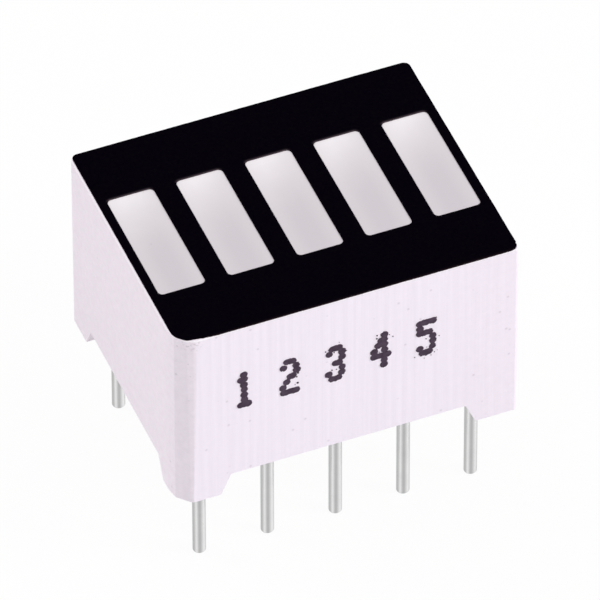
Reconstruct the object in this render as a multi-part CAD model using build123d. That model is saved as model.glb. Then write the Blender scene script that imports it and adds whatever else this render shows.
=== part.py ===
from build123d import *
import os
from math import radians, tan

# LED bar graph display: five light bars in one white housing, on two rows of five round pins.
# All sizes are in millimetres. +X runs along the row of bars, +Y from the numbered front wall to
# the back wall, and +Z out of the lit face. The origin is the middle of the pin pattern on the
# seating plane, which is the plane under the four feet.

# --- grid that the display is made for ---
bar_count = 5
bar_pitch = 2.54              # bar to bar and pin to pin
row_spacing = 7.62            # front row of pins to back row

# --- housing ---
stacking_clearance = 0.08     # what the body falls short of a whole number of pitches
row_margin = 1.22             # from a row of pins out to the wall's outer face
body_height = 7.75            # seating plane to the printed face
wall = 0.5                    # skirt and feet
inner_corner = 0.3            # upright inside corners of the skirt
front_corner = 0.15           # the plain upright corner at the front
back_corner = 0.3             # the two at the back
rim_bevel = 0.04              # outer edge round the face

# --- pin 1 corner: an upright bevel, crisp at the end wall and soft at the front wall ---
# Its corners in plan, from the end wall to the front wall. Each is the distance in from the end
# wall, the distance back from the front wall, and the radius that rounds it.
mark_low = [(0, 0.93, 1.0), (0.085, 0.48, 0.08), (0.48, 0.05, 0.12), (0.58, 0, 0.12)]
mark_high = [(0, 0.93, 1.0), (0.085, 0.48, 0.08), (0.385, 0.145, 0.25), (0.70, 0, 0.4)]

# --- feet ---
foot_height = 0.87            # seating plane up to the raised edge of the walls
foot_reach_long = 1.58        # length of a foot along the front or back wall, at the seating plane
foot_slope_long = 0.38        # how much longer it is at the raised edge
foot_reach_end = 1.42         # the same two along an end wall
foot_slope_end = 0.42
foot_round = 0.1              # both ends of the sloped side

# --- light cavities ---
bar_gap = 0.8                 # dark strip between two windows
cavity_end_wall = 0.72        # between a window's end and the relief over the pins
cavity_draft = 1.5            # degrees
cavity_root_radius = 0.06     # corner at the bottom of the cavity
face_thickness = 0.8          # over the reliefs
relief_rib = 0.44             # between two reliefs

# --- pins ---
pin_diameter = 0.47
pin_reach = 3.7               # below the seating plane
pin_tip_round = 0.05
pin_parallel_top = 0.05       # above it the shank swells, to grip the board
pin_grip_diameter = 0.53      # under the head
head_diameter = 0.84
head_thickness = 0.2
head_clearance = 0.17         # round a head, inside its relief

# --- board, resin and print ---
board_thickness = 1.0
board_clearance = 0.05        # board edge to skirt
copper_thickness = 0.035
land_diameter = 1.1           # copper ring round a pin, both sides
track_width = 0.3
potting_recess = 0.3          # raised edge of the walls up to the resin's surface
potting_depth = 0.5           # resin under the board
potting_climb = 0.15          # how far the resin creeps down the skirt and the pins
collar_edge = 0.02            # thickness of the resin where it ends on a pin
solder_diameter = 0.9         # on the land
solder_tip_diameter = 0.6     # where the joint ends on the pin
solder_height = 0.4
ink_thickness = 0.02
ink_margin = 0.01             # face print to the bevelled rim

# --- what makes the light, once in each bar ---
die_size = 0.3
die_height = 0.18
die_pad = 0.8
paste_size = 0.42
paste_thickness = 0.03
wire_pad = 0.5
wire_span = 1.1               # die to wire pad, along +Y
wire_diameter = 0.03
wire_rise = 0.3               # top of the loop above the die
bond_diameter = 0.1           # ball on the die and foot on the pad
bond_height = 0.04

# --- plain bar numbers on the front wall, in a 5 by 7 dot face ---
marking_drop = 2.97           # face down to the middle of the digits
marking_shift = -0.56         # middle of the row of digits, along X
digit_pitch = 1.68
dot_diameter = 0.28
dot_column_pitch = 0.12
dot_row_pitch = 0.24
marking_thickness = 0.02
digit_rows = [
    ("..#..", ".##..", "..#..", "..#..", "..#..", "..#..", ".###."),
    (".###.", "#...#", "....#", "..##.", ".#...", "#....", "#####"),
    (".###.", "#...#", "....#", "..##.", "....#", "#...#", ".###."),
    ("...#.", "..##.", ".#.#.", "#..#.", "#####", "...#.", "...#."),
    ("#####", "#....", "####.", "....#", "....#", "#...#", ".###."),
]

# --- cutting tools ---
overrun = 1.0                 # how far they reach past the walls and the seating plane

# --- derived sizes ---
body_length = bar_count * bar_pitch - stacking_clearance
body_width = row_spacing + 2 * row_margin
face_z = body_height - ink_thickness
potting_z = foot_height + potting_recess
board_z = potting_z + potting_depth
board_top_z = board_z + board_thickness
seat_z = board_top_z + copper_thickness
die_z = seat_z + paste_thickness
die_top_z = die_z + die_height
relief_reach = head_diameter / 2 + head_clearance
window_width = bar_pitch - bar_gap
window_length = row_spacing - 2 * (relief_reach + cavity_end_wall)
cavity_spread = (face_z - board_top_z) * tan(radians(cavity_draft))
window_corner = cavity_root_radius + cavity_spread
pin_radius = pin_diameter / 2

bar_xs = [(i - (bar_count - 1) / 2) * bar_pitch for i in range(bar_count)]
front_y = -row_spacing / 2
back_y = row_spacing / 2
# numbered as on any dual row package: along the front from the bevelled corner, then back behind
pin_places = [(x, front_y) for x in bar_xs] + [(x, back_y) for x in reversed(bar_xs)]

ABOVE = (Align.CENTER, Align.CENTER, Align.MIN)
BELOW = (Align.CENTER, Align.CENTER, Align.MAX)


def skirt_space(low_z, high_z, clearance=0.0):
    """The room inside the skirt between two heights, or what fits in it with a clearance."""
    inset = 2 * (wall + clearance)
    outline = RectangleRounded(body_length - inset, body_width - inset, inner_corner)
    return Pos(0, 0, low_z) * extrude(outline, amount=high_z - low_z)


def cut_all(shape, tools):
    for tool in tools:
        shape -= tool
    return shape


# ---------------------------------------------------------------- housing

def plain_rounded(outline, inset=0.0):
    """An outline with its three plain corners rounded, as they are or moved in by an inset."""
    front = outline.vertices().sort_by_distance((body_length / 2, -body_width / 2, 0))[0]
    outline = fillet(front, front_corner - inset)
    return fillet([v for v in outline.vertices() if v.Y > 0], back_corner - inset)


def mark_points(corners):
    return [(across - body_length / 2, back - body_width / 2, 0) for across, back, _ in corners]


def mark_rounded(section, corners, inset=0.0):
    """A flat section with each corner of the bevel rounded, as it is or moved in by an inset."""
    for point, corner in zip(mark_points(corners), corners):
        nearest = section.vertices().sort_by_distance(point)[0]
        section = fillet(nearest, corner[2] - inset)
    return section


def mark_section(corners, z):
    """What the pin 1 corner loses at one height, drawn well outside the two walls."""
    x = -body_length / 2
    y = -body_width / 2
    bevel = mark_points(corners)
    far_x = bevel[-1][0] + overrun
    far_y = bevel[0][1] + overrun
    section = make_face(Polyline(
        (x - overrun, far_y), (x, far_y), *bevel, (far_x, y),
        (far_x, y - overrun), (x - overrun, y - overrun), close=True))
    return Pos(0, 0, z) * mark_rounded(section, corners)


def mark_cut():
    return loft([mark_section(mark_low, 0), mark_section(mark_high, body_height)], ruled=True)


def foot_arch(wall_length, reach, slope, depth):
    """Opening between two feet, as a prism along Y through both opposite walls."""
    low = wall_length / 2 - reach
    high = low - slope
    side = wall_length / 2 + overrun
    profile = Plane.XZ * make_face(Polyline(
        (-side, -overrun), (side, -overrun), (side, 0), (low, 0), (high, foot_height),
        (-high, foot_height), (-low, 0), (-side, 0), close=True))
    slope_ends = [v for v in profile.vertices() if abs(v.X) < (low + side) / 2]
    return extrude(fillet(slope_ends, foot_round), amount=depth / 2 + overrun, both=True)


def light_cavity(x):
    """Well of one bar: it widens with its draft from the board up to the window."""
    root = RectangleRounded(window_width - 2 * cavity_spread, window_length - 2 * cavity_spread,
                            cavity_root_radius)
    well = extrude(root, amount=face_z - board_top_z, taper=-cavity_draft)
    return Pos(x, 0, board_top_z) * well


def pin_relief(x, y):
    """Pocket in the web over one pin's head, out to the skirt's inner face."""
    outward = Align.MIN if y > 0 else Align.MAX
    inner_y = y - relief_reach if y > 0 else y + relief_reach
    pocket = Box(bar_pitch - relief_rib, body_width, face_z, align=(Align.CENTER, outward, Align.MIN))
    return skirt_space(seat_z, face_z - face_thickness) & Pos(x, inner_y, seat_z) * pocket


def make_housing():
    body = extrude(plain_rounded(Rectangle(body_length, body_width)), amount=face_z)
    body -= mark_cut()
    body = chamfer(body.faces().sort_by(Axis.Z)[-1].outer_wire().edges(), rim_bevel)
    body -= skirt_space(-overrun, seat_z)
    body -= foot_arch(body_length, foot_reach_long, foot_slope_long, body_width)
    body -= Rot(0, 0, 90) * foot_arch(body_width, foot_reach_end, foot_slope_end, body_length)
    reliefs = [pin_relief(x, y) for x, y in pin_places]
    cavities = [light_cavity(x) for x in bar_xs]
    return cut_all(body, reliefs + cavities)


def face_outline(inset):
    """Outline of the lit face, moved in from the walls."""
    x = body_length / 2
    y = body_width / 2
    corners = [*mark_points(mark_high), (x, -y), (x, y), (-x, y)]
    outline = make_face(Polyline(*corners, close=True))
    outline = offset(outline, amount=-inset, kind=Kind.INTERSECTION)
    return mark_rounded(plain_rounded(outline, inset), mark_high, inset)


def make_face_print():
    """Black ink on the face, with a window over each bar."""
    sheet = face_outline(rim_bevel + ink_margin)
    for x in bar_xs:
        sheet -= Pos(x, 0) * RectangleRounded(window_width, window_length, window_corner)
    return Pos(0, 0, face_z) * extrude(sheet, amount=ink_thickness)


# ---------------------------------------------------------------- pins, board and copper

def make_pin(x, y):
    """Round tinned pin: domed tip, parallel leg, shank that swells to grip the board, flat head."""
    leg = Pos(0, 0, -pin_reach) * Cylinder(pin_radius, pin_reach + pin_parallel_top, align=ABOVE)
    leg = fillet(leg.edges().sort_by(Axis.Z)[0], pin_tip_round)
    shank = Pos(0, 0, pin_parallel_top) * Cone(
        pin_radius, pin_grip_diameter / 2, seat_z - pin_parallel_top, align=ABOVE)
    head = Pos(0, 0, seat_z) * Cylinder(head_diameter / 2, head_thickness, align=ABOVE)
    return Pos(x, y, 0) * (leg + shank + head)


def make_board(pins):
    return cut_all(skirt_space(board_z, board_top_z, board_clearance), pins)


def track(x, pad_y, pad_size, land_y):
    """One net's copper on the board: a pad for die or wire, and a strip out to its pin's land."""
    pad = Pos(x, pad_y) * Rectangle(pad_size, pad_size)
    strip = Pos(x, (pad_y + land_y) / 2) * Rectangle(track_width, abs(land_y - pad_y))
    land = Pos(x, land_y) * Circle(land_diameter / 2)
    return Pos(0, 0, board_top_z) * extrude(pad + strip + land, amount=copper_thickness)


def make_tracks(pins):
    die_tracks = [track(x, 0, die_pad, front_y) for x in bar_xs]
    wire_tracks = [track(x, wire_span, wire_pad, back_y) for x in reversed(bar_xs)]
    return [net - pin for net, pin in zip(die_tracks + wire_tracks, pins)]


def make_land(place, pin):
    """Copper ring under the board."""
    return Pos(*place, board_z) * Cylinder(land_diameter / 2, copper_thickness, align=BELOW) - pin


def make_solder(place, pin):
    """Solder joint from a land down onto its pin."""
    joint = Cone(solder_tip_diameter / 2, solder_diameter / 2, solder_height, align=BELOW)
    return Pos(*place, board_z - copper_thickness) * joint - pin


def make_potting(metal):
    """Resin poured over the back of the board, which creeps down the skirt and each pin."""
    edge_z = potting_z - potting_climb
    inset = 2 * wall
    pool = RectangleRounded(body_length - inset, body_width - inset, inner_corner)
    resin = skirt_space(edge_z, board_z)
    resin -= Pos(0, 0, edge_z) * extrude(pool, amount=potting_climb, taper=45)
    collar = Cone(pin_radius + collar_edge, pin_radius + potting_climb, potting_climb, align=BELOW)
    for x, y in pin_places:
        resin += Pos(x, y, potting_z) * collar
    return cut_all(resin, metal)


# ---------------------------------------------------------------- light sources

def make_paste(x):
    return Pos(x, 0, seat_z) * Box(paste_size, paste_size, paste_thickness, align=ABOVE)


def make_die(x):
    return Pos(x, 0, die_z) * Box(die_size, die_size, die_height, align=ABOVE)


def make_wire(x):
    """Gold wire: ball on the die, one arched loop, foot on the wire pad."""
    bond = Cylinder(bond_diameter / 2, bond_height, align=ABOVE)
    path = ThreePointArc((x, 0, die_top_z + bond_height / 2),
                         (x, wire_span / 2, die_top_z + wire_rise),
                         (x, wire_span, seat_z + bond_height / 2))
    section = Plane(origin=path @ 0, z_dir=path % 0) * Circle(wire_diameter / 2)
    return sweep(section, path=path) + Pos(x, 0, die_top_z) * bond + Pos(x, wire_span, seat_z) * bond


def make_segment(x, buried):
    """Milky resin that fills one light cavity round its die and wire, flush with the face."""
    return cut_all(light_cavity(x), buried)


# ---------------------------------------------------------------- bar numbers

def digit_face(rows):
    """One digit from dots that run into each other, centred on the origin."""
    middle_row = (len(rows) - 1) / 2
    middle_column = (len(rows[0]) - 1) / 2
    dots = []
    for row, line in enumerate(rows):
        for column, mark in enumerate(line):
            if mark == "#":
                across = (column - middle_column) * dot_column_pitch
                up = (middle_row - row) * dot_row_pitch
                dots.append(Pos(across, up) * Circle(dot_diameter / 2))
    return dots[0].fuse(*dots[1:])


def make_front_marking():
    on_wall = Plane(origin=(marking_shift, -body_width / 2, body_height - marking_drop),
                    x_dir=(1, 0, 0), z_dir=(0, -1, 0))
    digits = []
    for i, rows in enumerate(digit_rows):
        shift = (i - (len(digit_rows) - 1) / 2) * digit_pitch
        digits.append(on_wall * Pos(shift, 0) * extrude(digit_face(rows), amount=marking_thickness))
    return Compound(digits)


# ---------------------------------------------------------------- assembly

pins = [make_pin(x, y) for x, y in pin_places]
tracks = make_tracks(pins)
lands = [make_land(place, pin) for place, pin in zip(pin_places, pins)]
joints = [make_solder(place, pin) for place, pin in zip(pin_places, pins)]

nodes = {
    "housing": make_housing(),
    "face_print": make_face_print(),
    "front_marking": make_front_marking(),
    "circuit_board": make_board(pins),
    "top_copper": Compound(tracks),
    "bottom_lands": Compound(lands),
    "back_potting": make_potting(pins + lands + joints),
}
for i in range(len(pins)):
    nodes[f"pin_{i + 1}"] = pins[i]
    nodes[f"solder_{i + 1}"] = joints[i]
for i, x in enumerate(bar_xs):
    die_track = tracks[i]
    wire_track = tracks[-1 - i]
    light = [make_paste(x), make_die(x), make_wire(x)]
    nodes[f"die_attach_{i + 1}"] = light[0]
    nodes[f"led_die_{i + 1}"] = light[1]
    nodes[f"bond_wire_{i + 1}"] = light[2]
    nodes[f"segment_{i + 1}"] = make_segment(x, [die_track, wire_track] + light)

os.makedirs("parts", exist_ok=True)
for name, shape in nodes.items():
    export_step(shape, f"parts/{name}.step")
    print(f"{name}: {len(shape.solids())} solid(s), {shape.volume:.4f} mm3")
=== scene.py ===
import random
from math import atan2, cos, exp, pi, radians, sin, tan

import bmesh
import bpy
from mathutils import Matrix, Vector, noise


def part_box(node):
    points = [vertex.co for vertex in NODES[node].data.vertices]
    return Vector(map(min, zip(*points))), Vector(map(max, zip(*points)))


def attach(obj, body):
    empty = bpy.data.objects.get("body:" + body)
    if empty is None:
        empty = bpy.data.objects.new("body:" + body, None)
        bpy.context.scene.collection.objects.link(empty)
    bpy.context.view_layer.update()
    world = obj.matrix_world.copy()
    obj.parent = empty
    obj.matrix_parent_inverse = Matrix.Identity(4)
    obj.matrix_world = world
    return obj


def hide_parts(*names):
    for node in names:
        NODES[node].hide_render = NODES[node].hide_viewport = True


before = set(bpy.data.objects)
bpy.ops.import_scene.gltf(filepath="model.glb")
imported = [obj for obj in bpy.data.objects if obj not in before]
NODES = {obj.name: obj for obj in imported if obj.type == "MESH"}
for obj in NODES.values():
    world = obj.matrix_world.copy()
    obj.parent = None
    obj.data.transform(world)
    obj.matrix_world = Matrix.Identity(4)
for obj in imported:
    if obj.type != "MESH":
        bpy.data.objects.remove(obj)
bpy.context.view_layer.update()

# Looks of the LED bar graph display: white moulded housing, black ink on its face, five milky
# windows, plain bar numbers in dot-matrix ink on the front wall, and round tinned pins.
# Everything is in metres in the frame of the CAD model: +X along the bars, +Y from the numbered
# front wall to the back, +Z out of the lit face.

MM = 0.001
BARS = 5
PINS = 10

# Places that the looks follow, in millimetres
BAR_PITCH = 2.54
PRINT_FRONT = -5.018            # front edge of the print on the lit face
WINDOW_HALF_WIDTH = 0.86        # as the ink leaves it
WINDOW_BACK = 2.46              # back edge of the windows
WINDOW_RADIUS = 0.19
SCUFFED_CORNER = (-5.75, -4.95, 7.64)
THIN_REACH = 0.16               # how far from an edge the ink is thin


# ---------------------------------------------------------------- camera

# A long lens seen from the front left, well above the object.
CAMERA_AZIMUTH = radians(-22.03)
CAMERA_ELEVATION = radians(44.68)
CAMERA_ROLL = radians(-0.10)
CAMERA_DISTANCE = 416.565 * MM
CAMERA_ACROSS = 0.216 * MM      # the view's centre passes this far from the origin
CAMERA_ABOVE = 2.149 * MM
SENSOR = 36.0
LENS = 720.0


def make_camera():
    back = Vector((sin(CAMERA_AZIMUTH) * cos(CAMERA_ELEVATION),
                   -cos(CAMERA_AZIMUTH) * cos(CAMERA_ELEVATION), sin(CAMERA_ELEVATION)))
    level = Vector((cos(CAMERA_AZIMUTH), sin(CAMERA_AZIMUTH), 0))
    upright = back.cross(level)
    right = level * cos(CAMERA_ROLL) + upright * sin(CAMERA_ROLL)
    up = upright * cos(CAMERA_ROLL) - level * sin(CAMERA_ROLL)
    data = bpy.data.cameras.new("camera")
    data.sensor_width = SENSOR
    data.lens = LENS
    data.clip_start = 10 * MM
    camera = bpy.data.objects.new("camera", data)
    place = CAMERA_ACROSS * right + CAMERA_ABOVE * up + CAMERA_DISTANCE * back
    camera.matrix_world = Matrix((
        (right.x, up.x, back.x, place.x), (right.y, up.y, back.y, place.y),
        (right.z, up.z, back.z, place.z), (0, 0, 0, 1)))
    bpy.context.scene.collection.objects.link(camera)
    bpy.context.scene.camera = camera


make_camera()


# ---------------------------------------------------------------- shader helpers

def srgb(red, green, blue):
    """Linear colour of an 8 bit one."""
    def linear(value):
        value /= 255
        return value / 12.92 if value <= 0.04045 else ((value + 0.055) / 1.055) ** 2.4
    return (linear(red), linear(green), linear(blue), 1.0)


def put(tree, kind, sockets=None, **settings):
    """Adds a node, sets its properties, and fills its sockets with values or other outputs."""
    node = tree.nodes.new("ShaderNode" + kind)
    for key, value in settings.items():
        setattr(node, key, value)
    for key, value in (sockets or {}).items():
        if isinstance(value, bpy.types.NodeSocket):
            tree.links.new(value, node.inputs[key])
        else:
            node.inputs[key].default_value = value
    return node


def calc(tree, operation, *values, clamp=False):
    node = put(tree, "Math", dict(enumerate(values)), operation=operation, use_clamp=clamp)
    return node.outputs[0]


def times(tree, first, second):
    return calc(tree, "MULTIPLY", first, second)


def axes(tree, vector):
    return put(tree, "SeparateXYZ", {0: vector}).outputs


def blend_colours(tree, factor, first, second, mode="MIX"):
    node = put(tree, "Mix", {0: factor, 6: first, 7: second}, data_type="RGBA", blend_type=mode)
    return node.outputs[2]


def stain(tree, colour, mask, strength, tint):
    """The colour, turned towards a tint by the strength where the mask is 1."""
    return blend_colours(tree, times(tree, mask, strength), colour, tint)


def remap(tree, value, low, high, to_low=0.0, to_high=1.0, smooth=False):
    node = put(tree, "MapRange", {0: value, 1: low, 2: high, 3: to_low, 4: to_high},
               interpolation_type="SMOOTHSTEP" if smooth else "LINEAR")
    return node.outputs[0]


def place_in_mm(tree, stretch=(1, 1, 1)):
    """Place on the object in millimetres, with an optional stretch along each axis."""
    coords = put(tree, "TexCoord").outputs["Object"]
    node = put(tree, "Mapping", {"Vector": coords, "Scale": [s / MM for s in stretch]})
    return node.outputs[0]


def cloud(tree, place, per_mm, detail=2.0, roughness=0.5):
    node = put(tree, "TexNoise", {"Vector": place, "Scale": per_mm, "Detail": detail,
                                  "Roughness": roughness})
    return node.outputs["Fac"]


def specks(tree, place, per_mm, radius, share, seed=0.0):
    """1 inside small round specks: so many cells a millimetre, and a speck in a share of them."""
    shifted = put(tree, "VectorMath", {0: place, 1: (seed, 1.7 * seed, 2.3 * seed)},
                  operation="ADD").outputs[0]
    cells = put(tree, "TexVoronoi", {"Vector": shifted, "Scale": per_mm})
    split = put(tree, "SeparateColor", {0: cells.outputs["Color"]})
    chosen = calc(tree, "LESS_THAN", split.outputs[0], share)
    size = remap(tree, split.outputs[1], 0.0, 1.0, 0.4 * radius, radius)
    rim = times(tree, size, 0.5)
    near = put(tree, "MapRange", {0: cells.outputs["Distance"], 1: size, 2: rim, 3: 0.0, 4: 1.0})
    return times(tree, near.outputs[0], chosen)


def bump(tree, height, distance):
    node = put(tree, "Bump", {"Height": height, "Distance": distance, "Strength": 1.0})
    return node.outputs[0]


def new_material(name):
    material = bpy.data.materials.new(name)
    material.use_nodes = True
    tree = material.node_tree
    tree.nodes.clear()
    shader = put(tree, "BsdfPrincipled")
    output = put(tree, "OutputMaterial")
    tree.links.new(shader.outputs[0], output.inputs["Surface"])
    return material, tree, shader


def wire_up(tree, shader, sockets):
    for key, value in sockets.items():
        if isinstance(value, bpy.types.NodeSocket):
            tree.links.new(value, shader.inputs[key])
        else:
            shader.inputs[key].default_value = value


# ---------------------------------------------------------------- materials

def facing(tree):
    """How far the surface faces along each axis of the object, from -1 to 1."""
    return axes(tree, put(tree, "TexCoord").outputs["Normal"])


def within_bar(tree, along):
    """Distance along the row from the middle of the nearest bar, with its sign."""
    return calc(tree, "WRAP", along, BAR_PITCH / 2, -BAR_PITCH / 2)


def white_plastic():
    """Bright white moulding: drawing lines down the two long walls, fainter at their far end, where
    the walls are also a little darker as painted shade, a pink mottle on the end walls, a painted
    highlight on the rim round the face, scuffs under the print at the pin 1 corner, and a little
    dust and grit."""
    material, tree, shader = new_material("white_plastic")
    place = place_in_mm(tree)
    down = place_in_mm(tree, (1, 1, 0.02))
    toward = facing(tree)
    long_wall = remap(tree, calc(tree, "ABSOLUTE", toward[1]), 0.97, 0.999)
    end_wall = remap(tree, calc(tree, "ABSOLUTE", toward[0]), 0.97, 0.999)
    far_end = remap(tree, axes(tree, place)[0], 2.5, 6.0, smooth=True)

    ridges = put(tree, "TexWave", {"Vector": down, "Scale": 0.83, "Distortion": 2.5, "Detail": 2.0,
                                   "Detail Scale": 1.5}).outputs["Fac"]
    threads = remap(tree, cloud(tree, down, 10.0, 2.0, 0.6), 0.35, 0.65)
    lines = calc(tree, "MULTIPLY_ADD", threads, 0.65, times(tree, ridges, 0.35))
    lined = blend_colours(tree, lines, srgb(245, 237, 248), srgb(237, 229, 240))
    lines = times(tree, lines, long_wall)

    mottle = remap(tree, cloud(tree, place, 4.0, 4.0, 0.65), 0.32, 0.68)
    colour = blend_colours(tree, mottle, srgb(241, 231, 242), srgb(247, 237, 248))
    strength = calc(tree, "MULTIPLY_ADD", far_end, -0.3, 0.7)
    colour = stain(tree, colour, long_wall, strength, lined)
    # Painted shade: the long walls are darkened a little towards their far end.
    painted_far_shade = times(tree, long_wall, far_end)
    colour = blend_colours(tree, painted_far_shade, colour, (0.984, 0.984, 0.985, 1), "MULTIPLY")
    blush = remap(tree, cloud(tree, place, 6.0, 3.0, 0.7), 0.3, 0.7)
    blush = blend_colours(tree, blush, (0.988, 1.032, 0.992, 1), (1.045, 0.988, 1.004, 1))
    colour = blend_colours(tree, end_wall, colour, blush, "MULTIPLY")

    dust = specks(tree, place, 2.4, 0.16, 0.50, seed=2.95)
    colour = stain(tree, colour, dust, 0.26, srgb(170, 155, 170))
    grit = specks(tree, place, 4.0, 0.11, 0.12, seed=7.3)
    colour = stain(tree, colour, grit, 0.22, srgb(175, 160, 175))
    away = put(tree, "VectorMath", {0: place, 1: SCUFFED_CORNER}, operation="DISTANCE")
    near = remap(tree, away.outputs["Value"], 0.2, 0.5, 1.0, 0.0)
    scuffs = times(tree, near, remap(tree, cloud(tree, place, 9.0, 3.0, 0.6), 0.53, 0.63))
    colour = stain(tree, colour, scuffs, 0.28, srgb(140, 122, 130))
    # Painted highlight: the edge that slopes up round the face is painted near white.
    rim = times(tree, remap(tree, toward[2], 0.3, 0.6), remap(tree, toward[2], 0.9, 0.98, 1.0, 0.0))
    colour = blend_colours(tree, rim, colour, srgb(250, 244, 250))

    relief = calc(tree, "MULTIPLY_ADD", lines, 1.0, times(tree, cloud(tree, place, 18.0), 0.4))
    wire_up(tree, shader, {
        "Base Color": colour,
        "Roughness": remap(tree, cloud(tree, place, 5.0), 0.3, 0.7, 0.42, 0.56),
        "Normal": bump(tree, relief, 0.0015 * MM),
        "Specular IOR Level": 0.3,
    })
    return material


def thin_edge(tree, away):
    """1 at an edge of the ink, falling off to 0 as the ink gets thicker."""
    return calc(tree, "POWER", remap(tree, away, 0.0, THIN_REACH, 1.0, 0.0), 4.0)


def face_ink():
    """Dead matt black screen ink. It is thin and a little brown where the squeegee lifted: along
    its front edge, behind each window and down its own edge."""
    material, tree, shader = new_material("face_ink")
    place = place_in_mm(tree)
    grain = remap(tree, cloud(tree, place, 9.0, 3.0), 0.35, 0.75)
    colour = blend_colours(tree, grain, srgb(2, 0, 6), srgb(5, 3, 8))
    split = axes(tree, place)
    front = thin_edge(tree, calc(tree, "ADD", split[1], -PRINT_FRONT))
    colour = blend_colours(tree, front, colour, srgb(40, 29, 32))
    # distance from a window's back edge and its two rounded corners
    across = calc(tree, "SUBTRACT", calc(tree, "ABSOLUTE", within_bar(tree, split[0])),
                  WINDOW_HALF_WIDTH - WINDOW_RADIUS)
    across = calc(tree, "MAXIMUM", across, 0.0)
    behind = calc(tree, "SUBTRACT", split[1], WINDOW_BACK - WINDOW_RADIUS)
    behind = calc(tree, "MAXIMUM", behind, 0.0)
    reach = calc(tree, "SQRT", calc(tree, "MULTIPLY_ADD", across, across,
                                    times(tree, behind, behind)))
    share = calc(tree, "DIVIDE", behind, calc(tree, "MAXIMUM", reach, 0.001))
    share = remap(tree, share, 0.5, 0.95)
    thin = thin_edge(tree, calc(tree, "SUBTRACT", reach, WINDOW_RADIUS))
    colour = stain(tree, colour, thin, share, srgb(86, 74, 81))
    edge = remap(tree, calc(tree, "ABSOLUTE", facing(tree)[2]), 0.3, 0.7, 1.0, 0.0)
    colour = blend_colours(tree, edge, colour, srgb(58, 42, 48))
    wire_up(tree, shader, {
        "Base Color": colour,
        "Roughness": remap(tree, cloud(tree, place, 25.0), 0.3, 0.7, 0.55, 0.75),
        "Normal": bump(tree, cloud(tree, place, 22.0), 0.002 * MM),
        "Specular IOR Level": 0.01,
    })
    return material


def number_ink():
    """Thin purple grey marking ink, mottled where it ran."""
    material, tree, shader = new_material("number_ink")
    place = place_in_mm(tree)
    mottle = remap(tree, cloud(tree, place, 6.0, 3.0, 0.6), 0.35, 0.68)
    wire_up(tree, shader, {
        "Base Color": blend_colours(tree, mottle, srgb(62, 46, 63), srgb(78, 62, 80)),
        "Roughness": remap(tree, cloud(tree, place, 15.0), 0.3, 0.7, 0.45, 0.65),
        "Normal": bump(tree, cloud(tree, place, 14.0), 0.004 * MM),
        "Specular IOR Level": 0.2,
    })
    return material


def milky_resin():
    """Diffused resin in the windows, with a painted highlight: it is painted paler over the back
    end of each cavity.
    """
    material, tree, shader = new_material("milky_resin")
    place = place_in_mm(tree)
    split = axes(tree, place)
    across = within_bar(tree, split[0])
    slant = calc(tree, "MULTIPLY_ADD", across, -0.55, split[1])
    drift = calc(tree, "MULTIPLY_ADD", cloud(tree, place, 0.9, 2.0), 0.5, slant)
    # Painted highlight: paler over the back end of each window, where the concave resin top would
    # catch the light.
    glow = calc(tree, "POWER", remap(tree, drift, -1.5, 3.8, smooth=True), 1.9)
    colour = blend_colours(tree, glow, srgb(205, 198, 204), srgb(246, 241, 244))
    edge = remap(tree, calc(tree, "ABSOLUTE", across), 0.25, 0.85, 0.0, 0.5)
    colour = blend_colours(tree, edge, colour, srgb(220, 214, 218))
    dots = specks(tree, place, 1.3, 0.05, 0.22, seed=3.1)
    colour = stain(tree, colour, dots, 0.35, srgb(160, 148, 156))
    wire_up(tree, shader, {
        "Base Color": colour,
        "Roughness": remap(tree, cloud(tree, place, 4.0), 0.3, 0.7, 0.34, 0.46),
        "Normal": bump(tree, cloud(tree, place, 3.0, 3.0), 0.004 * MM),
        "Specular IOR Level": 0.35,
    })
    return material


def back_resin():
    """Casting resin over the back of the board: pale, cloudy, with tiny bubbles."""
    material, tree, shader = new_material("back_resin")
    place = place_in_mm(tree)
    drift = remap(tree, cloud(tree, place, 0.8, 4.0, 0.6), 0.35, 0.68)
    colour = blend_colours(tree, drift, srgb(214, 208, 204), srgb(233, 228, 226))
    bubbles = specks(tree, place, 2.2, 0.13, 0.16, seed=5.7)
    colour = stain(tree, colour, bubbles, 0.4, srgb(182, 172, 168))
    relief = calc(tree, "SUBTRACT", cloud(tree, place, 1.2, 2.0), times(tree, bubbles, 0.5))
    wire_up(tree, shader, {
        "Base Color": colour,
        "Roughness": remap(tree, cloud(tree, place, 3.0), 0.3, 0.7, 0.16, 0.28),
        "Normal": bump(tree, relief, 0.02 * MM),
        "Specular IOR Level": 0.5,
    })
    return material


UNDRAWN = (1, 1, 1)
DRAWN_DOWN = (1, 1, 0.04)       # stretches the texture into lines along Z


def metal(name, bright, dull, roughness, drawn=DRAWN_DOWN, grain=14.0):
    """Metal with faint lines along its drawing direction and a patchy sheen."""
    material, tree, shader = new_material(name)
    lines = cloud(tree, place_in_mm(tree, drawn), grain, 2.0)
    patches = cloud(tree, place_in_mm(tree), 1.6, 3.0)
    colour = blend_colours(tree, remap(tree, patches, 0.3, 0.7), bright, dull)
    wire_up(tree, shader, {
        "Base Color": colour,
        "Metallic": 1.0,
        "Roughness": remap(tree, patches, 0.3, 0.7, roughness - 0.03, roughness + 0.04),
        "Normal": bump(tree, lines, 0.0008 * MM),
    })
    return material


def circuit_board():
    """Glass fibre board under green solder mask."""
    material, tree, shader = new_material("board")
    place = place_in_mm(tree)
    weave = put(tree, "TexWave", {"Vector": place, "Scale": 2.0, "Distortion": 0.6}).outputs["Fac"]
    wire_up(tree, shader, {
        "Base Color": blend_colours(tree, weave, srgb(46, 92, 58), srgb(54, 104, 66)),
        "Roughness": remap(tree, cloud(tree, place, 6.0), 0.3, 0.7, 0.3, 0.45),
        "Normal": bump(tree, weave, 0.002 * MM),
    })
    return material


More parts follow.
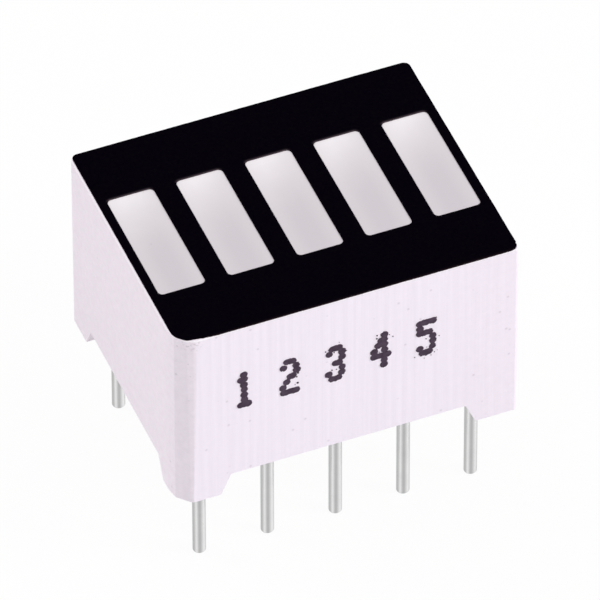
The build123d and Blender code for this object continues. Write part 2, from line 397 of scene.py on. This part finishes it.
def silicon():
    """Diced chip: dark, with fine saw lines."""
    material, tree, shader = new_material("die")
    lines = cloud(tree, place_in_mm(tree, (0.1, 1, 1)), 40.0, 2.0)
    wire_up(tree, shader, {
        "Base Color": blend_colours(tree, lines, srgb(84, 70, 62), srgb(112, 96, 84)),
        "Roughness": remap(tree, lines, 0.3, 0.7, 0.2, 0.35),
        "Normal": bump(tree, lines, 0.0006 * MM),
    })
    return material


MATERIALS = {
    "white_plastic": white_plastic(),
    "face_ink": face_ink(),
    "number_ink": number_ink(),
    "milky_resin": milky_resin(),
    "back_resin": back_resin(),
    "tinned_metal": metal("tinned_metal", (0.88, 0.88, 0.88, 1), (0.84, 0.84, 0.84, 1), 0.16),
    "solder": metal("solder", (0.74, 0.74, 0.75, 1), (0.60, 0.60, 0.62, 1), 0.30, UNDRAWN, 6.0),
    "copper": metal("copper", (0.93, 0.72, 0.44, 1), (0.86, 0.64, 0.38, 1), 0.30, UNDRAWN, 8.0),
    "silver_paste": metal("silver_paste", (0.80, 0.79, 0.77, 1), (0.66, 0.65, 0.63, 1), 0.45,
                          UNDRAWN, 20.0),
    "gold": metal("gold", (0.95, 0.72, 0.32, 1), (0.90, 0.66, 0.28, 1), 0.20),
    "board": circuit_board(),
    "die": silicon(),
}
SLOT_OF_NODE = {
    "housing": "white_plastic", "face_print": "face_ink", "front_marking": "number_ink",
    "circuit_board": "board", "top_copper": "copper", "bottom_lands": "copper",
    "back_potting": "back_resin",
}
for i in range(1, PINS + 1):
    SLOT_OF_NODE[f"pin_{i}"] = "tinned_metal"
    SLOT_OF_NODE[f"solder_{i}"] = "solder"
for i in range(1, BARS + 1):
    SLOT_OF_NODE[f"segment_{i}"] = "milky_resin"
    SLOT_OF_NODE[f"led_die_{i}"] = "die"
    SLOT_OF_NODE[f"die_attach_{i}"] = "silver_paste"
    SLOT_OF_NODE[f"bond_wire_{i}"] = "gold"


def finish_cad_nodes():
    for name, node in NODES.items():
        node.data.materials.clear()
        node.data.materials.append(MATERIALS[SLOT_OF_NODE[name]])


finish_cad_nodes()


# ---------------------------------------------------------------- ink on the lit face

RIM_STEP = 0.02 * MM
ARC_STEPS = 12
SAME_PLACE = 0.0001 * MM
WINDOW_SHIFT = Vector((0.0085, -0.0255, 0)) * MM
# In millimetres: the corners of the print with the radius of each, how far the ink spread into
# the windows, how uneven its edge is at each grain, where the front edge is torn, and the chip at
# the right front corner.
PRINT_CORNERS = [
    (-6.248, -4.512, 0.50), (-5.880, -4.880, 0.22), (-4.840, PRINT_FRONT, 1.50),
    (6.305, PRINT_FRONT, 0.34), (6.300, 5.000, 0.25), (-6.248, 5.000, 0.22),
]
INK_SPREAD = 0.013
FINE_GRAIN = 0.09
FINE_DEPTH = 0.0025
SLOW_GRAIN = 0.6
SLOW_DEPTH = 0.003
TORN_X = -5.15
TORN_REACH = 0.35
TORN_FRONT = -4.8
TORN_GRAIN = 0.10
TORN_DEPTH = 0.045
CHIP_X = 6.27
CHIP_Y = -4.72
CHIP_REACH = 0.035
CHIP_DEPTH = 0.07


def top_outlines(node):
    """Closed outlines of a CAD node's top face, as lists of points."""
    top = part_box(node)[1].z
    work = bmesh.new()
    work.from_mesh(NODES[node].data)
    bmesh.ops.remove_doubles(work, verts=work.verts, dist=SAME_PLACE)
    lower = [f for f in work.faces if any(abs(v.co.z - top) > SAME_PLACE for v in f.verts)]
    bmesh.ops.delete(work, geom=lower, context="FACES_ONLY")
    open_edges = [e for e in work.edges if e.is_boundary]
    follows = {}
    for edge in open_edges:
        for vert in edge.verts:
            follows.setdefault(vert, []).append(edge.other_vert(vert))
    outlines = []
    seen = set()
    for start in sorted(follows, key=lambda v: v.index):
        if start in seen:
            continue
        loop = [start]
        seen.add(start)
        while True:
            ahead = [v for v in follows[loop[-1]] if v not in seen]
            if not ahead:
                break
            loop.append(ahead[0])
            seen.add(ahead[0])
        outlines.append([v.co.copy() for v in loop])
    work.free()
    return outlines


def evenly(points, step):
    """A closed outline again, with points about a step apart."""
    spaced = []
    for start, end in zip(points, points[1:] + points[:1]):
        parts = max(1, round((end - start).length / step))
        spaced += [start.lerp(end, i / parts) for i in range(parts)]
    return spaced


def area_of(points):
    return sum(a.x * b.y - b.x * a.y for a, b in zip(points, points[1:] + points[:1])) / 2


def film(name, outlines, bottom, thickness):
    """A sheet of ink with these outlines, the others cut out of the largest."""
    curve = bpy.data.curves.new(name, "CURVE")
    curve.dimensions = "2D"
    curve.fill_mode = "BOTH"
    curve.extrude = thickness / 2
    for points in outlines:
        spline = curve.splines.new("POLY")
        spline.points.add(len(points) - 1)
        for target, point in zip(spline.points, points):
            target.co = (point.x, point.y, 0, 1)
        spline.use_cyclic_u = True
    shape = bpy.data.objects.new(name + "_outline", curve)
    mesh = bpy.data.meshes.new_from_object(shape)
    bpy.data.objects.remove(shape)
    mesh.name = name
    mesh.transform(Matrix.Translation((0, 0, bottom + thickness / 2)))
    work = bmesh.new()
    work.from_mesh(mesh)
    bmesh.ops.remove_doubles(work, verts=work.verts, dist=2 * SAME_PLACE)
    bmesh.ops.recalc_face_normals(work, faces=work.faces)
    work.to_mesh(mesh)
    work.free()
    piece = bpy.data.objects.new(name, mesh)
    bpy.context.scene.collection.objects.link(piece)
    return piece


def rounded_outline(corners):
    """Closed outline through corners given as (x, y, radius) in millimetres."""
    points = []
    count = len(corners)
    for i, (x, y, radius) in enumerate(corners):
        corner = Vector((x, y, 0))
        before = (Vector((*corners[i - 1][:2], 0)) - corner).normalized()
        after = (Vector((*corners[(i + 1) % count][:2], 0)) - corner).normalized()
        half = before.angle(after) / 2
        centre = corner + (before + after).normalized() * radius / sin(half)
        start = corner + before * radius / tan(half) - centre
        end = corner + after * radius / tan(half) - centre
        sweep = atan2(start.x * end.y - start.y * end.x, start.dot(end))
        turns = [Matrix.Rotation(sweep * k / ARC_STEPS, 3, "Z") for k in range(ARC_STEPS + 1)]
        points += [(centre + turn @ start) * MM for turn in turns]
    return points


def ragged(points, outer):
    """The screen's mesh leaves the edge of the ink a little uneven, most at the pin 1 corner."""
    turn = 1 if area_of(points) > 0 else -1
    if not outer:
        turn = -turn
    moved = []
    count = len(points)
    for i, point in enumerate(points):
        along = (points[(i + 1) % count] - points[i - 1]).normalized()
        outward = Vector((along.y, -along.x, 0)) * turn
        fine = noise.noise(point / (FINE_GRAIN * MM))
        slow = noise.noise(point / (SLOW_GRAIN * MM) + Vector((3, 5, 7)))
        shift = FINE_DEPTH * fine + SLOW_DEPTH * slow
        if outer:
            shift *= 2
            torn = 0
            if point.y < TORN_FRONT * MM:
                torn = exp(-((point.x / MM - TORN_X) / TORN_REACH) ** 2)
            bite = noise.noise(point / (TORN_GRAIN * MM) + Vector((9, 2, 4)))
            shift += TORN_DEPTH * torn * bite
            chip = (point - Vector((CHIP_X * MM, CHIP_Y * MM, point.z))).length / MM
            shift -= CHIP_DEPTH * exp(-(chip / CHIP_REACH) ** 2)
        else:
            shift += INK_SPREAD
        moved.append(point + outward * shift * MM)
    return moved


def make_face_ink():
    """The print sits a hair to the right on the body, its windows a hair to the front, and its
    pin 1 corner is cut back further than the body's."""
    loops = top_outlines("face_print")
    largest = max(range(len(loops)), key=lambda i: abs(area_of(loops[i])))
    windows = [evenly([point + WINDOW_SHIFT for point in points], RIM_STEP)
               for i, points in enumerate(loops) if i != largest]
    outer = evenly(rounded_outline(PRINT_CORNERS), RIM_STEP)
    low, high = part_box("face_print")
    shaped = [ragged(outer, True)] + [ragged(points, False) for points in windows]
    piece = film("face_ink_film", shaped, low.z, high.z - low.z)
    piece.data.materials.append(MATERIALS["face_ink"])
    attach(piece, "root")
    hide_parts("face_print")


make_face_ink()


# ---------------------------------------------------------------- bar numbers

# The plain numbers 1 to 5 in a 5 by 7 dot face, as a marking head prints them: the dots run
# into each other, bleed at their edges and leave a fine spray.
DIGITS = [
    ("..#..", ".##..", "..#..", "..#..", "..#..", "..#..", ".###."),
    (".###.", "#...#", "....#", "..##.", ".#...", "#....", "#####"),
    (".###.", "#...#", "....#", "..##.", "....#", "#...#", ".###."),
    ("...#.", "..##.", ".#.#.", "#..#.", "#####", "...#.", "...#."),
    ("#####", "#....", "####.", "....#", "....#", "#...#", ".###."),
]
DOT_RADIUS = 0.14 * MM
DOT_COLUMN = 0.12 * MM
DOT_ROW = 0.24 * MM
DIGIT_PITCH = 1.68 * MM
INK_CELL = 0.014 * MM
INK_THICKNESS = 0.02 * MM
DROPS = 60
DRAW_SEED = 12
# Bleeding and pores, in millimetres: depth and grain of each unevenness of the ink's edge, the
# grain of the pores, and how fast they deepen above the noise that starts them
BLEEDS = ((0.016, 0.055), (0.010, 0.16))
PORE_GRAIN = 0.06
PORE_START = 0.50
PORE_DEPTH = 0.35
CELL_RING = ((0, 0), (1, 0), (1, 1), (0, 1))


def digit_dots(rows, centre, draw):
    """Centre and radius of each dot of one digit, on the wall's own plane."""
    middle_row = len(rows) // 2
    middle_column = len(rows[0]) // 2
    dots = []
    for row, line in enumerate(rows):
        for column, mark in enumerate(line):
            if mark == "#":
                x = centre.x + (column - middle_column) * DOT_COLUMN + draw.gauss(0, 0.008) * MM
                z = centre.y + (middle_row - row) * DOT_ROW + draw.gauss(0, 0.010) * MM
                dots.append((x, z, DOT_RADIUS * draw.uniform(0.90, 1.04)))
    return dots


def spray(dots, draw, count):
    """Droplets thrown beside the dots, most of them near the last digit printed."""
    last = max(x for x, z, radius in dots)
    drops = []
    while len(drops) < count:
        x, z, radius = draw.choice(dots)
        if draw.random() > 0.25 + 0.75 * exp(-(last - x) / (1.6 * MM)):
            continue
        turn = draw.uniform(0, 2 * pi)
        away = DOT_RADIUS + abs(draw.gauss(0.03, 0.10)) * MM
        size = min(0.045, 0.012 + draw.expovariate(1 / 0.010)) * MM
        drops.append((x + away * cos(turn), z + away * sin(turn), size))
    return drops


def deepest(level, x, z, spots):
    """The level, or more where the place lies deeper inside one of these round spots."""
    for cx, cz, radius in spots:
        level = max(level, radius - ((x - cx) ** 2 + (z - cz) ** 2) ** 0.5)
    return level


def ink_level(x, z, dots, drops):
    """Positive inside the ink, in metres from its edge."""
    level = deepest(-1.0, x, z, dots)
    spot = Vector((x, 0, z))
    for depth, grain in BLEEDS:
        level += depth * MM * noise.noise(spot / (grain * MM))
    pore = noise.noise(spot / (PORE_GRAIN * MM) + Vector((4, 8, 1))) - PORE_START
    level -= max(0, pore) * PORE_DEPTH * MM
    return deepest(level, x, z, drops)


def edge_share(start, end):
    """Share of the way between two levels where the ink's edge lies, kept off both ends."""
    return min(0.9, max(0.1, start / (start - end)))


def ink_patch(work, dots, drops, wall_y):
    """Adds the outer surface of one digit's ink, cut along its edge cell by cell."""
    everything = dots + drops
    x0 = min(x - r for x, z, r in everything) - 3 * INK_CELL
    z0 = min(z - r for x, z, r in everything) - 3 * INK_CELL
    columns = int((max(x + r for x, z, r in everything) - x0) / INK_CELL) + 4
    rows = int((max(z + r for x, z, r in everything) - z0) / INK_CELL) + 4
    levels = [[ink_level(x0 + i * INK_CELL, z0 + j * INK_CELL, dots, drops)
               for j in range(rows)] for i in range(columns)]
    verts = {}

    def vert(key, column, row):
        if key not in verts:
            place = (x0 + column * INK_CELL, wall_y - INK_THICKNESS, z0 + row * INK_CELL)
            verts[key] = work.verts.new(place)
        return verts[key]

    for i in range(columns - 1):
        for j in range(rows - 1):
            corners = [(i + across, j + up) for across, up in CELL_RING]
            outline = []
            for a, b in zip(corners, corners[1:] + corners[:1]):
                level_a = levels[a[0]][a[1]]
                level_b = levels[b[0]][b[1]]
                if level_a > 0:
                    outline.append(vert(a, *a))
                if (level_a > 0) != (level_b > 0):
                    share = edge_share(level_a, level_b) if a < b else \
                        1 - edge_share(level_b, level_a)
                    outline.append(vert((min(a, b), max(a, b)), a[0] + share * (b[0] - a[0]),
                                        a[1] + share * (b[1] - a[1])))
            if len(outline) > 2:
                work.faces.new(outline)


def make_numbers():
    draw = random.Random(DRAW_SEED)
    low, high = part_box("front_marking")
    wall_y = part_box("housing")[0].y
    middle = Vector(((low.x + high.x) / 2, (low.z + high.z) / 2))
    last = len(DIGITS) - 1
    steps = [(i - last // 2) * DIGIT_PITCH for i in range(len(DIGITS))]
    work = bmesh.new()
    digits = [digit_dots(rows, middle + Vector((step, 0)), draw)
              for rows, step in zip(DIGITS, steps)]
    drops = spray([dot for dots in digits for dot in dots], draw, DROPS)
    for i, dots in enumerate(digits):
        centre = middle.x + steps[i]
        near = [d for d in drops if -DIGIT_PITCH / 2 < d[0] - centre <= DIGIT_PITCH / 2
                or (i == last and d[0] > centre) or (i == 0 and d[0] < centre)]
        ink_patch(work, dots, near, wall_y)
    raised = bmesh.ops.extrude_face_region(work, geom=list(work.faces))
    for item in raised["geom"]:
        if isinstance(item, bmesh.types.BMVert):
            item.co.y = wall_y
    bmesh.ops.recalc_face_normals(work, faces=work.faces)
    mesh = bpy.data.meshes.new("bar_numbers")
    work.to_mesh(mesh)
    work.free()
    piece = bpy.data.objects.new("bar_numbers", mesh)
    bpy.context.scene.collection.objects.link(piece)
    mesh.materials.append(MATERIALS["number_ink"])
    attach(piece, "root")
    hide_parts("front_marking")


make_numbers()


# ---------------------------------------------------------------- studio

FLOOR_HALF = 3.0
FLOOR_GLOW = 0.95               # share of the floor's look that is plain white
WORLD_LEVEL = 0.695             # what the world gives to matt surfaces
LIGHT_DISTANCE = 0.45
# Azimuth and brightness of the panels that metal sees, from square to the camera, + to the right
PANELS = ((-180, 0.62), (-122, 0.55), (-88, 0.55), (-68, 0.80), (-46, 0.93), (-28, 0.80),
          (-6, 0.54), (20, 0.50), (45, 0.68), (80, 0.95), (105, 0.93), (135, 0.70), (180, 0.62))
PANEL_BELOW = 0.85
# Azimuth, elevation, size and level of each soft box
LIGHTS = {
    "light_right_front": (58, 25, 0.15, 0.483),
    "light_left_back": (-135, 30, 0.15, 0.25),
    "light_top": (150, 78, 0.30, 0.04),
}


def studio_floor():
    """Pale floor at the pin tips: white to the eye, but it keeps the object's soft shadow. It is
    clear to glossy rays, and from below, where it would hide the underside."""
    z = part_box("pin_1")[0].z
    mesh = bpy.data.meshes.new("floor")
    h = FLOOR_HALF
    mesh.from_pydata([(-h, -h, z), (h, -h, z), (h, h, z), (-h, h, z)], [], [(0, 1, 2, 3)])
    ground = bpy.data.objects.new("floor", mesh)
    bpy.context.scene.collection.objects.link(ground)
    material = bpy.data.materials.new("floor")
    material.use_nodes = True
    tree = material.node_tree
    tree.nodes.clear()
    rays = put(tree, "LightPath")
    lit = put(tree, "BsdfDiffuse", {"Color": (0.86, 0.86, 0.86, 1)})
    glow = put(tree, "Emission", {"Color": (1, 1, 1, 1), "Strength": 1.0})
    white = put(tree, "MixShader", {0: FLOOR_GLOW, 1: lit.outputs[0], 2: glow.outputs[0]})
    plain = put(tree, "MixShader", {0: rays.outputs["Is Camera Ray"], 1: lit.outputs[0],
                                    2: white.outputs[0]})
    clear = put(tree, "BsdfTransparent")
    mirror = calc(tree, "MAXIMUM", rays.outputs["Is Glossy Ray"],
                  rays.outputs["Is Transmission Ray"])
    below = times(tree, rays.outputs["Is Camera Ray"],
                  put(tree, "NewGeometry").outputs["Backfacing"])
    through = calc(tree, "MAXIMUM", mirror, below)
    seen = put(tree, "MixShader", {0: through, 1: plain.outputs[0], 2: clear.outputs[0]})
    put(tree, "OutputMaterial", {"Surface": seen.outputs[0]})
    mesh.materials.append(material)


def studio_world():
    """White backdrop; metal sees pale and grey panels that stand round the object."""
    world = bpy.data.worlds.new("studio")
    bpy.context.scene.world = world
    world.use_nodes = True
    tree = world.node_tree
    tree.nodes.clear()
    rays = put(tree, "LightPath")
    toward = axes(tree, put(tree, "TexCoord").outputs["Generated"])
    turn = calc(tree, "ARCTAN2", toward[1], toward[0])
    front = atan2(-cos(CAMERA_AZIMUTH), sin(CAMERA_AZIMUTH))
    turn = calc(tree, "WRAP", calc(tree, "SUBTRACT", turn, front), pi, -pi)
    ramp = put(tree, "ValToRGB", {0: remap(tree, turn, -pi, pi)})
    ramp.color_ramp.interpolation = "B_SPLINE"
    elements = ramp.color_ramp.elements
    while len(elements) < len(PANELS):
        elements.new(0.5)
    for element, (angle, level) in zip(elements, PANELS):
        element.position = (angle + 180) / 360
        element.color = (level, level, level, 1)
    panels = blend_colours(tree, remap(tree, toward[2], -0.05, 0.15), ramp.outputs[0],
                           (PANEL_BELOW, PANEL_BELOW, PANEL_BELOW, 1))
    backdrop = calc(tree, "MAXIMUM", rays.outputs["Is Camera Ray"],
                    rays.outputs["Is Transmission Ray"])
    colour = blend_colours(tree, rays.outputs["Is Glossy Ray"],
                           (WORLD_LEVEL, WORLD_LEVEL, WORLD_LEVEL, 1), panels)
    colour = blend_colours(tree, backdrop, colour, (1, 1, 1, 1))
    back = put(tree, "Background", {"Color": colour, "Strength": 1.0})
    put(tree, "OutputWorld", {"Surface": back.outputs[0]})


def soft_light(name, azimuth, elevation, size, level):
    """A square soft box aimed at the body. Azimuth 0 is square to the front wall, + to the right.
    A level of 1 lights a surface that faces it so that its colour renders as written."""
    data = bpy.data.lights.new(name, "AREA")
    data.shape = "SQUARE"
    data.size = size
    data.energy = level * pi * pi * LIGHT_DISTANCE ** 2
    light = bpy.data.objects.new(name, data)
    around = radians(azimuth)
    above = radians(elevation)
    out = Vector((sin(around) * cos(above), -cos(around) * cos(above), sin(above)))
    light.location = out * LIGHT_DISTANCE
    light.rotation_euler = out.to_track_quat("Z", "Y").to_euler()
    light.visible_camera = False
    light.visible_glossy = False
    bpy.context.scene.collection.objects.link(light)


studio_floor()
studio_world()
for light, settings in LIGHTS.items():
    soft_light(light, *settings)

bpy.context.scene.view_settings.view_transform = "Standard"
